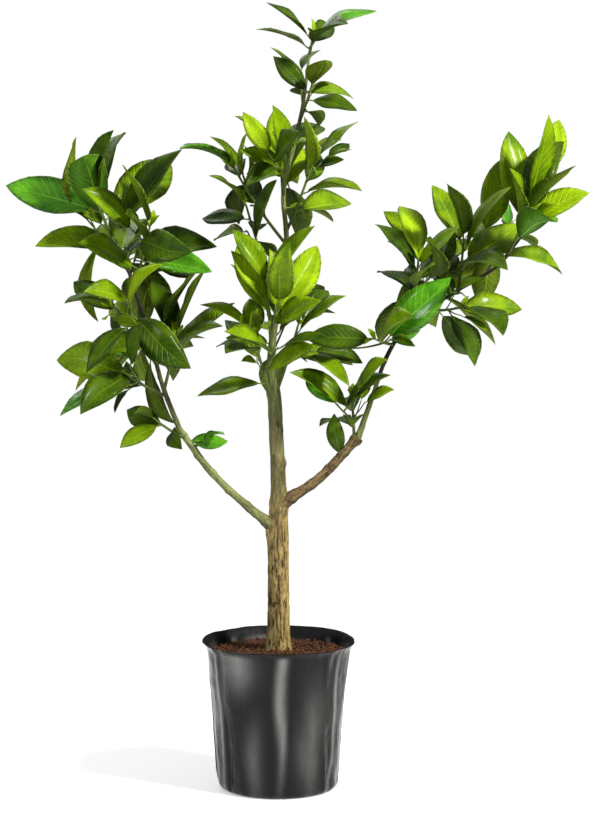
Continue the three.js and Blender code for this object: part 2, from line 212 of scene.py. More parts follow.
class Shade:
    """One output of a material's nodes, with which sums are written as plain expressions."""

    def __init__(self, tree, socket=None):
        self.tree = tree
        self.socket = socket

    def add(self, kind, settings=None, inputs=None, output=0):
        """A new node, whose settings are put first, then the values or links of its sockets."""
        node = self.tree.nodes.new(kind)
        for name, value in (settings or {}).items():
            setattr(node, name, value)
        for name, value in (inputs or {}).items():
            if isinstance(value, Shade):
                self.tree.links.new(value.socket, node.inputs[name])
            else:
                node.inputs[name].default_value = value
        return Shade(self.tree, node.outputs[output])

    def math(self, operation, *terms):
        """A Math node's result for these terms."""
        return self.add("ShaderNodeMath", {"operation": operation}, dict(enumerate(terms)))

    def __add__(self, other):
        return self.math("ADD", self, other)

    def __sub__(self, other):
        return self.math("SUBTRACT", self, other)

    def __rsub__(self, other):
        return self.math("SUBTRACT", other, self)

    def __mul__(self, other):
        return self.math("MULTIPLY", self, other)

    def __abs__(self):
        return self.math("ABSOLUTE", self)

    __radd__ = __add__
    __rmul__ = __mul__

    def ramp(self, low, high):
        """0 below low and 1 above high, straight between them."""
        span = {"Value": self, "From Min": low, "From Max": high}
        return self.add("ShaderNodeMapRange", {}, span)

    def mix(self, colour, other):
        """From colour, where this value is 0, to the other, where it is 1."""
        return self.add("ShaderNodeMix", {"data_type": "RGBA"}, {0: self, 6: colour, 7: other}, 2)

    def place(self):
        """The point's place on the plant, in metres."""
        return self.add("ShaderNodeTexCoord", {}, {}, "Object")

    def noise(self, scale, stretch=(1, 1, 1), detail=4, roughness=0.55):
        """Cloudy noise with scale cells a metre, drawn out where a stretch is below 1."""
        at = self.add("ShaderNodeMapping", {}, {"Vector": self.place(), "Scale": stretch})
        settings = {"Vector": at, "Scale": scale, "Detail": detail, "Roughness": roughness}
        return self.add("ShaderNodeTexNoise", {}, settings)

    def attribute(self, name):
        """A value that the mesh holds at its points."""
        return self.add("ShaderNodeAttribute", {"attribute_name": name}, {}, "Fac")

    def heights(self, height, distance, strength=1.0, under=None):
        """A bumped normal from a height, which is distance metres high where it is 1."""
        inputs = {"Height": height, "Distance": distance, "Strength": strength}
        if under:
            inputs["Normal"] = under
        return self.add("ShaderNodeBump", {}, inputs)


def tint(red, green, blue):
    """An opaque colour."""
    return (red, green, blue, 1.0)


def finish_of(name, look):
    """A material whose surface gets what look returns for its sockets, given the first Shade."""
    material = bpy.data.materials.new(name)
    material.use_nodes = True
    tree = material.node_tree
    surface = tree.nodes["Principled BSDF"]
    for socket, value in look(Shade(tree)).items():
        if isinstance(value, Shade):
            tree.links.new(value.socket, surface.inputs[socket])
        else:
            surface.inputs[socket].default_value = value
    return material


def film_look(s):
    """Glossy black film, grey in its dust bloom and painted highlights, which a point attribute gives, and
    duller where inside is 1.
    """
    dust = s.noise(34, (1, 1, 0.5)).ramp(0.4, 0.75)
    # dust bloom and painted highlights, broken up by the dust noise
    dust_and_sheen = s.attribute("dust_and_sheen") * (0.6 + 0.4 * dust)
    crumple = s.noise(60, (1, 1, 0.25), 5)
    pebble = s.noise(420, (1, 1, 0.6), 3)
    return {
        "Base Color": dust_and_sheen.mix(tint(0.003, 0.003, 0.0035), tint(0.26, 0.255, 0.25)),
        "Roughness": 0.14 + 0.3 * dust_and_sheen + 0.45 * s.attribute("inside"),
        "Specular IOR Level": 0.16,
        "Normal": s.heights(pebble, 0.0003, 0.4, s.heights(crumple, 0.004, 0.7)),
    }


FRONT = 0.75
# turn of each crease round the bag, how deep it is, how wide in turns, and how far it wanders
CREASES = [
    (FRONT - 0.158, 2.6, 0.009, 0.006), (FRONT - 0.118, 1.4, 0.014, 0.012), (FRONT - 0.055, 1.1, 0.02, 0.02),
    (FRONT + 0.006, 1.8, 0.008, 0.01), (FRONT + 0.062, 1.3, 0.016, 0.02), (FRONT + 0.13, 2.2, 0.01, 0.012),
    (FRONT + 0.2, 1.6, 0.016, 0.02), (0.04, 1.9, 0.012, 0.02), (0.11, 1.5, 0.02, 0.02),
    (0.2, 2.4, 0.01, 0.012), (0.27, 1.2, 0.018, 0.02), (0.34, 2, 0.012, 0.02), (0.43, 1.7, 0.015, 0.02),
    (0.5, 2.3, 0.01, 0.012),
]
# broad waves of the film, and waves of its rim: height, length of a cell, cells to a turn and seed
FILM_WAVES = [(1.1, 55, 5, 3), (0.7, 24, 14, 4), (0.3, 9, 46, 5)]
RIM_WAVES = [(RIM_WAVE, 1, 9, 8), (0.5, 1, 31, 9)]


def wall_radius(z):
    """Radius of a straight wall that widens upwards, with a lip flared by a power of its height."""
    straight = FOOT_RADIUS + (WALL_TOP_RADIUS - FOOT_RADIUS) * z / (BAG_HEIGHT - LIP_DROP)
    flare = ramp(z, BAG_HEIGHT - LIP_DROP, BAG_HEIGHT) ** LIP_CURVE
    return np.minimum(straight, WALL_TOP_RADIUS) + (LIP_RADIUS - WALL_TOP_RADIUS) * flare


def film_folds(u, z):
    """How far the film stands in or out: bell-shaped creases that wander, over broad waves and crumples."""
    height = z / BAG_HEIGHT
    folds = layered(u, z, FILM_WAVES)
    for i, (turn, depth, width, wander) in enumerate(CREASES):
        at = turn + wander * np.sin(2.6 * height * math.pi / 2 + 1.7 * i)
        side = away(u, at)
        fade = 0.55 + 0.45 * np.cos(2 * math.pi * (height * 0.8 + 0.21 * i))
        folds = folds + depth * fade * (bump(side, 0, width) - 0.8 * bump(side, 1.8 * width, width))
    return np.maximum(folds, FOLD_LEAST)


# grey dust bloom and painted highlights on the film: turn, width in turns, height, half its height and
# strength
DUST_AND_SHEEN_PATCHES = [
    (FRONT - 0.104, 0.04, 148, 20, 0.92), (FRONT - 0.165, 0.008, 110, 70, 1),
    (FRONT + 0.008, 0.011, 124, 60, 1), (FRONT + 0.085, 0.03, 60, 40, 0.35),
    (FRONT + 0.16, 0.006, 90, 70, 0.8), (FRONT - 0.06, 0.02, 40, 30, 0.4),
    (0.03, 0.04, 120, 36, 0.6), (0.12, 0.007, 90, 70, 0.8), (0.2, 0.03, 60, 50, 0.4),
    (0.29, 0.035, 130, 26, 0.8), (0.37, 0.006, 80, 70, 0.8), (0.45, 0.03, 100, 40, 0.5),
    (0.53, 0.006, 90, 60, 0.8),
]
# painted sheen on the crests of the film's folds: the fold height where it begins and where it is full
CREST_SHEEN = (0.7, 2.1)
# heights under the rim where the dust bloom and painted highlights are gone, and where they are whole
PLAIN_RIM = (BAG_HEIGHT - 4, BAG_HEIGHT - 8)


def film_dust_and_sheen(u, z, fold):
    """Grey dust bloom and painted highlights, from 0 to 1: bell-shaped patches and upright streaks, stronger
    on the folds' crests by a painted sheen.
    """
    dust_and_sheen = 0.25 * ramp(fold, *CREST_SHEEN) ** 1.5
    for turn, width, height, tall, strength in DUST_AND_SHEEN_PATCHES:
        side = away(u, turn + 0.004 * np.sin(z / 19 + 40 * turn))
        dust_and_sheen = np.maximum(dust_and_sheen, strength * bump(side, 0, width) * bump(z, height, tall) ** 0.6)
    return dust_and_sheen * ramp(z, *PLAIN_RIM)


def film_profile():
    """Radius and height along the film, from the centre of its bottom up the outside to the lip, then in
    and down to under the soil: a quarter circle at the foot, a straight wall and a flared lip."""
    quarter = np.linspace(0, math.pi / 2, 8)
    foot_radius = wall_radius(FOOT_ROUND) - FOOT_ROUND
    bottom = np.linspace(CAP_RADIUS, foot_radius, 10)[:-1]
    z_outside = np.linspace(FOOT_ROUND, BAG_HEIGHT, WALL_ROWS)[1:]
    z_inside = np.linspace(BAG_HEIGHT, SOIL_LEVEL - INSIDE_DEPTH, 22)
    cover = np.linspace(COVER_RADIUS, CAP_RADIUS, 6)
    stretches = [
        (bottom, 0 * bottom),
        (foot_radius + FOOT_ROUND * np.sin(quarter), FOOT_ROUND * (1 - np.cos(quarter))),
        (wall_radius(z_outside), z_outside),
        (wall_radius(z_inside) - FILM, z_inside + RIM_FULLNESS),
        (cover, 0 * cover + SOIL_LEVEL - COVER_DEPTH),
    ]
    return np.vstack([np.stack(stretch, -1) for stretch in stretches])


profile = film_profile()
u, _ = turns_and_rows(BAG_COLUMNS, len(profile))
radius = np.repeat(profile[:, :1], BAG_COLUMNS, 1)
height = np.repeat(profile[:, 1:], BAG_COLUMNS, 1)
loose = ramp(height, *LOOSE_FROM) * ramp(radius, *LOOSE_OUTSIDE)
fold = film_folds(u, height)
mouth = ramp(height, BAG_HEIGHT - MOUTH_ZONE, BAG_HEIGHT)
radius = radius + loose * (1 - MOUTH_HOLD * mouth) * (fold - SUNK_IN * (1 - mouth))
back = (0.5 + 0.5 * np.cos(2 * math.pi * (u - FRONT + 0.5))) ** BACK_CURVE
height = height + BACK_RISE * back * ramp(height, *BACK_LIFTED) ** 2
height = height + mouth * (layered(u, 0 * u, RIM_WAVES) - RIM_WAVE)
# grey dust bloom and painted highlights on the film, held at its points
dust_and_sheen = film_dust_and_sheen(u, height, fold)
past_lip = np.arange(len(profile)) > profile[:, 1].argmax()
inside = np.repeat(past_lip[:, None] * 1.0, BAG_COLUMNS, 1)
values = with_ends({"dust_and_sheen": dust_and_sheen, "inside": inside})
points, faces = closed_skin(round_z(radius, u, height))
film = finish_of("black_polythene", film_look)
make_piece("bag_film", points, faces, [film], ["grow_bag"], values=values)

# The potting soil
# Moist bark and coir mix, dark and crumbly, that fills the bag to 11 mm under its mouth and rises a
# little to the trunk. Its crumbs are many-sided lumps strewn over it.
SOIL_RADIUS = 75
SOIL_DEPTH = 10
HEART = 0.015
SETTLED = 0.6
MOUND = 2.2
MOUND_RADIUS = 12
EDGE_DIP = 1.5
EDGE_SHARE = 0.08
CRUMBS = 2400
CRUMB_SEED = 31
CRUMB_LEAST = 0.7
CRUMB_MORE = 2
CRUMB_SHAPE = (0.55, 1.2)
CRUMB_RISE = (-0.8, 1.3)
CRUMBS_WITHIN = SOIL_RADIUS - 2
LUMP_EDGE = 1.2
LUMP_DENTS = (0.8, 1.15)


def soil_look(s):
    """Dark brown lumps, ruddier on top, with darker and rougher patches."""
    lumps = s.noise(260, detail=5, roughness=0.65)
    patches = s.noise(45).ramp(0.35, 0.7)
    colour = lumps.ramp(0.35, 0.7).mix(tint(0.02, 0.009, 0.005), tint(0.2, 0.092, 0.044))
    return {
        "Base Color": (patches * 0.5).mix(colour, tint(0.04, 0.014, 0.008)),
        "Roughness": 0.75 + 0.2 * patches,
        "Specular IOR Level": 0.1,
        "Normal": s.heights(lumps, 0.002, 0.9),
    }


soil_finish = finish_of("potting_mix", soil_look)
u, share = turns_and_rows(200, 60)
share = share[::-1] * (1 - HEART) + HEART
swell = 1.6 * grain(u, 5 * share, 7, 21) + 0.9 * grain(u, 14 * share, 30, 22)
swell = swell + 0.5 * grain(u, 30 * share, 80, 23)
radius = SOIL_RADIUS * share
height = SOIL_LEVEL - SETTLED + swell * (0.25 + 0.75 * share)
height = height + MOUND * bump(radius, MOUND_RADIUS, MOUND_RADIUS) - EDGE_DIP * bump(share, 1, EDGE_SHARE)
rings = round_z(radius, u, height)
under = rings[:1] * np.array([1, 1, 0]) + np.array([0, 0, SOIL_LEVEL - SOIL_DEPTH])
points, faces = closed_skin(np.concatenate([under, rings]))
make_piece("potting_soil", points, faces, [soil_finish], ["soil"])


def soft_lump():
    """Points and faces of a ball of twelve points and twenty faces."""
    g = (1 + 5**0.5) / 2
    points = [(a, b * g, 0) for a in (-1, 1) for b in (-1, 1)]
    points += [(0, a, b * g) for a in (-1, 1) for b in (-1, 1)]
    points += [(a * g, 0, b) for a in (-1, 1) for b in (-1, 1)]
    points = np.array(points) / math.hypot(1, g)
    apart = np.linalg.norm(points[:, None] - points[None], axis=-1)
    near = apart < LUMP_EDGE
    faces = []
    for a in range(12):
        for b in range(a + 1, 12):
            for c in range(b + 1, 12):
                if near[a, b] and near[b, c] and near[a, c]:
                    out = np.cross(points[b] - points[a], points[c] - points[a]) @ points[a] > 0
                    faces.append((a, b, c) if out else (a, c, b))
    return points, np.array(faces)


def strew(centres, sizes, seed):
    """Lumps of the given centres and half sizes (n, 3), each turned at random and dented by up to a fifth."""
    chance = np.random.default_rng(seed)
    ball, sides = soft_lump()
    dented = ball[None] * chance.uniform(*LUMP_DENTS, (len(centres), len(ball), 1)) * sizes[:, None]
    turn = chance.uniform(0, 2 * math.pi, len(centres))
    cos, sin = np.cos(turn)[:, None], np.sin(turn)[:, None]
    x, y, z = np.moveaxis(dented, -1, 0)
    points = np.stack([cos * x - sin * y, sin * x + cos * y, z], -1) + centres[:, None]
    faces = sides[None] + len(ball) * np.arange(len(centres))[:, None, None]
    return points.reshape(-1, 3), faces.reshape(-1, 3).tolist()


chance = np.random.default_rng(CRUMB_SEED)
reach = CRUMBS_WITHIN * np.sqrt(chance.uniform(0.03, 1, CRUMBS))
turn = chance.uniform(0, 1, CRUMBS)
rise = SOIL_LEVEL + chance.uniform(*CRUMB_RISE, CRUMBS) + MOUND * bump(reach, MOUND_RADIUS, MOUND_RADIUS)
sizes = CRUMB_LEAST + CRUMB_MORE * chance.uniform(0, 1, (CRUMBS, 1)) ** 3 * np.ones(3)
sizes = sizes * chance.uniform(*CRUMB_SHAPE, (CRUMBS, 3))
points, faces = strew(round_z(reach, turn, rise), sizes, CRUMB_SEED + 1)
make_piece("soil_crumbs", points, faces, [soil_finish])

# The trunk, its two boughs and their limbs
# Living wood with its bark: brown and fissured low down, grey-green with fine streaks higher up, and
# smooth and green where this year's shoots begin. Each limb swells where it leaves what carries it.
LIMBS = {
    # the places that a limb passes, as x, y, z and its radius there
    "trunk": [
        [0, 0, 152.3, 13.2], [0, 0, 172, 12.4], [0, 0, 225, 12], [0, 0, 286, 11.4], [0, 0, 338, 8.6],
        [-4, 0, 430, 7.6], [-7, 0, 485, 4.4], [2, 3, 546, 3.1], [9, 4, 606, 2.8], [6, 0, 660, 2.5],
        [19, -4, 715, 2.3], [28, -2, 758, 1.9], [34, 0, 807, 1.4],
    ],
    "left_bough": [[-5, 0, 289, 5.2], [-37, -4, 316, 4.4], [-73, -8, 351, 4], [-108, -10, 398, 3.4]],
    "left_limb": [[-108, -10, 398, 3.2], [-127, -8, 447, 2.6], [-145, -6, 513, 2.1], [-164, -4, 571, 1.6]],
    "right_bough": [[4, 0, 316, 6.2], [46, -6, 345, 5.4], [88, -10, 390, 5.2]],
    "right_limb": [
        [87, -10, 388, 3.6], [103, -10, 433, 2.6], [120, -8, 480, 2.3], [147, -6, 518, 2.2],
        [194, -4, 549, 2.1], [240, -2, 577, 1.8], [267, 0, 610, 1.5],
    ],
}
STEPS_A_PLACE = 8
ASKEW = np.array([0.48, 0.6, -0.64])


def between(limits, share):
    """The value at a share of the way from one limit to the other."""
    return limits[0] + (limits[1] - limits[0]) * share


def unit(v):
    """Vectors of length 1."""
    return v / np.linalg.norm(v, axis=-1, keepdims=True)


def even_curve(places, steps):
    """Points at even steps on the curve through the places whose slope at each is half the way from the
    place before it to the place after."""
    p = np.asarray(places, float)
    p = np.vstack([2 * p[0] - p[1], p, 2 * p[-1] - p[-2]])
    segments = len(p) - 3
    s = segments * np.arange(steps + 1) / steps
    k = np.minimum(s.astype(int), segments - 1)
    t = (s - k)[:, None]
    a, b, c, d = p[k], p[k + 1], p[k + 2], p[k + 3]
    return 0.5 * (2 * b + (c - a) * t + (2 * a - 5 * b + 4 * c - d) * t**2 + (3 * b - a - 3 * c + d) * t**3)


LINES = {name: even_curve(places, STEPS_A_PLACE * (len(places) - 1)) for name, places in LIMBS.items()}


def square_to(heading):
    """Two directions square to a heading, which turn with it from x to y."""
    a = unit(np.cross(heading, ASKEW))
    return a, np.cross(heading, a)


def headings(path):
    """Direction of a path of points at each of them, from the point before to the point after."""
    ahead = np.vstack([path[1:], path[-1:]])
    behind = np.vstack([path[:1], path[:-1]])
    return unit(ahead - behind)


def round_rings(path, radii, sides):
    """Rings square to a path: point + radius (cos w a + sin w b), for (n,) or (n, sides) radii."""
    a, b = square_to(headings(path))
    w = 2 * math.pi * np.arange(sides) / sides
    radii = np.broadcast_to(np.asarray(radii).reshape(len(path), -1), (len(path), sides))
    spokes = np.cos(w)[None, :, None] * a[:, None] + np.sin(w)[None, :, None] * b[:, None]
    return path[:, None] + radii[..., None] * spokes


def bark_look(ridges):
    """Old bark with ridges of the given tint where the attribute age is 1, green wood where it is 0, greyer
    by weathering and by painted shade on the trunk's left side, and near black where shade is 1; crack and
    fibre are its cracks and fine streaks."""

    def look(s):
        age = s.attribute("age")
        fibre = s.attribute("fibre")
        patches = s.noise(30, (1, 1, 0.4))
        pores = s.noise(1100, (1, 1, 0.5), 3, 0.7)
        streaks = fibre * 0.7 + pores * 0.3
        pale = age.ramp(0.3, 1).mix(tint(0.18, 0.16, 0.075), ridges)
        brown = streaks.ramp(0.28, 0.66).mix(tint(0.06, 0.042, 0.014), pale)
        warm = (patches.ramp(0.5, 0.72) * 0.3).mix(brown, tint(0.24, 0.145, 0.06))
        grey = (s.attribute("weather_and_shade") * 0.45).mix(warm, tint(0.125, 0.105, 0.055))
        specked = (pores.ramp(0.58, 0.7) * 0.5).mix(grey, tint(0.6, 0.48, 0.24))
        green = streaks.ramp(0.28, 0.66).mix(tint(0.1, 0.13, 0.03), tint(0.325, 0.385, 0.118))
        greyish = (s.attribute("weather_and_shade") * 0.65).mix(green, tint(0.085, 0.078, 0.04))
        wood = age.mix(greyish, specked)
        cracked = (s.attribute("crack") * 0.9).mix(wood, tint(0.018, 0.014, 0.005))
        dark = patches.mix(tint(0.012, 0.011, 0.006), tint(0.045, 0.036, 0.02))
        return {
            "Base Color": s.attribute("shade").mix(cracked, dark),
            "Roughness": 0.5 + 0.32 * age,
            "Specular IOR Level": 0.2,
            "Normal": s.heights(streaks, 0.0012, 0.9),
        }

    return look


bark = finish_of("bark", bark_look(tint(0.42, 0.3, 0.1)))
ruddy_bark = finish_of("ruddy_bark", bark_look(tint(0.27, 0.165, 0.075)))
# share of the lattices' height at which a crack begins, and at which it is at its deepest
CRACK_SHARE = (0.8, 0.95)


def fissures(u, z, around, length, seed):
    """Depth, from 0 to 1, of cracks that run up a limb: 1 - |grain| of two drawn-out lattices, sharpened
    and broken into short lengths by a third."""
    wander = 0.012 * np.sin(z / 11) + 0.006 * np.sin(z / 3.7 + 20 * u)
    one = 1 - np.abs(grain(u + wander, z / length, around, seed))
    two = 1 - np.abs(grain(u - wander, z / (0.7 * length) + 3, around + 11, seed + 1))
    broken = np.clip(0.5 + 1.5 * grain(u, z / (0.16 * length), around, seed + 2), 0, 1)
    return ramp(np.maximum(one, two), *CRACK_SHARE) * broken


def fibres(u, run, around, seed):
    """Fine streaks, from 0 to 1, drawn out along a limb: the sum of long ones and short ones."""
    return 0.5 + 0.5 * layered(u, run, [(0.55, 9, around, seed), (0.45, 2.6, 2 * around, seed + 1)])


def limb_skin(name, columns, rows, relief, start_back=0, finish=bark):
    """The limb's tube with relief(u, turn, run, z, radii, below) added to its radius, in even steps along
    it; relief also gives the bark's values. start_back begins it so far inside what carries it."""
    line = even_curve(LIMBS[name], rows)
    run = np.concatenate([[0], np.cumsum(np.linalg.norm(np.diff(line[:, :3], axis=0), axis=1))])
    even = np.linspace(0, run[-1], rows + 1)
    line = np.stack([np.interp(even, run, column) for column in line.T], -1)
    path, radii = line[:, :3], line[:, 3]
    if start_back:
        path = np.vstack([path[0] - start_back * unit(path[1] - path[0]), path])
        radii = np.concatenate([radii[:1], radii])
    run = np.concatenate([[0], np.cumsum(np.linalg.norm(np.diff(path, axis=0), axis=1))])
    u, _ = turns_and_rows(columns, len(path))
    run = np.repeat(run[:, None], columns, 1)
    z = np.repeat(path[:, 2:], columns, 1)
    radii = np.repeat(radii[:, None], columns, 1)
    rings = round_rings(path, radii, columns)
    spread = rings - path[:, None]
    turn = np.arctan2(spread[..., 1], spread[..., 0]) / (2 * math.pi) % 1
    below = np.clip(-unit(spread)[..., 2], 0, 1)
    extra, values = relief(u, turn, run, z, radii, below)
    rings = path[:, None] + spread * (1 + extra / radii)[..., None]
    points, faces = closed_skin(rings)
    make_piece(f"{name}_bark", points, faces, [finish], [name], values=with_ends(values))


# where shoots were pruned or boughs leave the trunk: turn, height, width in turns, half height and rise
LEFT, RIGHT = 0.5, 0.0
SCARS = [
    (LEFT, 286, 0.14, 15, 2.8), (RIGHT, 318, 0.16, 11, 2.2), (RIGHT + 0.02, 360, 0.07, 5, 1.9),
    (LEFT + 0.04, 317, 0.07, 5, 1.3), (LEFT - 0.03, 438, 0.09, 5, 1.7), (FRONT + 0.03, 401, 0.07, 4, 0.9),
    (FRONT - 0.05, 262, 0.06, 5, 0.9), (0.3, 372, 0.08, 5, 1.4), (FRONT + 0.06, 206, 0.05, 6, 0.8),
    (0.2, 452, 0.1, 5, 1.2), (FRONT - 0.06, 470, 0.1, 4, 0.9),
]
# heights on the trunk: where a change begins, and where it is complete
OLD_BARK = (480, 290)
DEEP_CRACKS = (450, 250)
OPEN_SEAM = (345, 285)
# where the grey of weathering and painted shade on the trunk's left side fades in
GREY_AND_SHADED_SIDE = (430, 370)
LEAF_SCARS = (470, 530)
DARK_STREAKS = (470, 510)
CLEAR_OF_STREAKS = (500, 310)
# a band of grey bark and the swelling where the leader begins: height and half height, and how far it rises
GREY_BAND = (388, 55)
LEADER_FOOT = (462, 9)
LEADER_RISE = 1.2
FLUTES = 5
FLUTE_HEIGHT = 26
SCAR_STEP = 21
TRUNK_LUMPS = [(0.5, 30, 4, 43), (0.28, 9, 9, 44), (0.12, 3, 24, 45)]


def trunk_relief(u, turn, run, z, radii, below):
    """Root flutes, lumps, scars and cracks, with a ragged seam up the front, greyer on the left by weathering
    and painted shade.
    """
    crack = fissures(u, z, 22, 46, 41) * np.maximum(ramp(z, *DEEP_CRACKS), 0.5)
    seam_at = FRONT - 0.01 + 0.014 * np.sin(z / 17) + 0.012 * grain(u * 0, z / 6, 3, 47)
    seam = bump(away(turn, seam_at), 0, 0.014) * np.clip(0.75 + 0.9 * grain(u, z / 8, 12, 48), 0, 1)
    crack = np.maximum(crack, seam * np.maximum(ramp(z, *OPEN_SEAM), 0.25))
    flutes = 1.3 * np.cos(2 * math.pi * FLUTES * turn + 0.6) + 1.2
    extra = np.exp(-(z - SOIL_LEVEL) / FLUTE_HEIGHT) * flutes
    extra = extra + layered(u, z, TRUNK_LUMPS) * (radii / 11) ** 0.7 - 0.85 * crack * (radii / 12)
    for at, height, width, tall, rise in SCARS:
        ring = bump(away(turn, at), 0, width) * bump(z, height, tall)
        extra = extra + rise * ring * np.minimum(radii / 7, 1)
    extra = extra + LEADER_RISE * bump(z, *LEADER_FOOT)
    knots = bump(z % SCAR_STEP, 10, 2.6) * ramp(z, *LEAF_SCARS)
    extra = extra + 0.35 * knots * (0.6 + np.cos(2 * math.pi * (turn + z / 57)))
    streaks = np.clip(0.35 + 0.9 * grain(u * 0, z / 38, 3, 46), 0, 0.9) * ramp(z, *DARK_STREAKS)
    # greyer bark on the trunk's left, partly weathering and partly painted shade, and a grey band round it
    weather_and_shade = 0.05 + 0.5 * np.cos(2 * math.pi * (turn - 0.58)) + 0.3 * grain(u, z / 30, 5, 49)
    weather_and_shade = weather_and_shade * ramp(z, *GREY_AND_SHADED_SIDE) + 0.95 * bump(z, *GREY_BAND)
    return extra, {
        "age": ramp(z, *OLD_BARK),
        "crack": crack,
        "shade": streaks * (1 - 0.4 * ramp(z, *CLEAR_OF_STREAKS)),
        "weather_and_shade": np.clip(weather_and_shade, 0, 1),
        "fibre": fibres(u, z, 46, 53),
    }


COLLAR_LENGTH = 11
KNOB_HALF = 5
NODE_STEP = 26
NODE_RISE = 0.8
# painted shade on a bough's underside, added to its shade where it faces straight down
PAINTED_SHADE_BELOW = 1.5


def bough_relief(seed, collar, age, shade, rough=1.0, knob=0):
    """A bough that swells by a collar at its foot and a knob at its end, whose age and shade change evenly
    from their first value to their second, whose cracks are rough times as deep, and which has painted shade
    on its underside."""

    def relief(u, turn, run, z, radii, below):
        length = run[-1, 0]
        share = run / length
        crack = fissures(u, run, 9, 18, seed) * rough * 0.8
        lumps = layered(u, run, [(0.45, 16, 4, seed + 2), (0.22, 5, 9, seed + 3)])
        around = 0.5 + 0.5 * np.cos(2 * math.pi * (u + run / 61))
        nodes = NODE_RISE * bump(run % NODE_STEP, NODE_STEP / 2, 3) * around
        extra = (lumps + nodes - 0.5 * crack) * np.minimum(radii / 4.5, 1)
        extra = extra + collar * np.exp(-run / COLLAR_LENGTH)
        extra = extra + knob * bump(run, length - 4, KNOB_HALF)
        # the bough's shade, with painted shade on its underside
        dark = between(shade, share) + 0.2 * grain(u, run / 20, 3, seed + 4) + PAINTED_SHADE_BELOW * below**2
        return extra, {
            "age": np.clip(between(age, share), 0, 1),
            "crack": crack,
            "shade": np.clip(dark, 0, 1),
            "weather_and_shade": 0 * u,
            "fibre": fibres(u, run, 20, seed + 5),
        }

    return relief


limb_skin("trunk", 120, 640, trunk_relief)
left_bough = bough_relief(seed=51, collar=4.2, age=(0.5, 0.1), shade=(0.2, 0.1), rough=0.35)
limb_skin("left_bough", 48, 180, left_bough)
left_limb = bough_relief(seed=57, collar=0, age=(0.3, 0.3), shade=(0.3, 1.3), rough=0.3)
limb_skin("left_limb", 28, 150, left_limb, start_back=3)
right_bough = bough_relief(seed=63, collar=4, age=(1, 0.9), shade=(0, 0.1), knob=1.9)
limb_skin("right_bough", 56, 160, right_bough, finish=ruddy_bark)
right_limb = bough_relief(seed=69, collar=0.6, age=(0.1, 0.5), shade=(-0.1, 4), rough=0.3)
limb_skin("right_limb", 32, 320, right_limb)

# The foliage
# Each mass is one green stem with side twigs, on which leathery leaves stand in a spiral, folded up
# along the midrib and arched back. Stems and twigs grow out of the limbs, and leaves out of them.


def mass(limb, at, tip, leaves, twigs, leaf, seed, tints, start=0.35, wide=1.3, narrow=0.45, droop=0.1):
    """A mass: its limb and how far along that it stands, the tip of its stem, its leaves and side twigs, the
    mean length of a leaf, its seed, and the tints that its leaves take in turn. Leaves begin at start along
    the stem, lean out by wide there and by narrow at its tip, and hang by droop."""
    return {
        "limb": limb, "at": at, "tip": tip, "leaves": leaves, "twigs": twigs, "leaf": leaf, "seed": seed,
        "tints": tints.split(), "start": start, "wide": wide, "narrow": narrow, "droop": droop,
    }


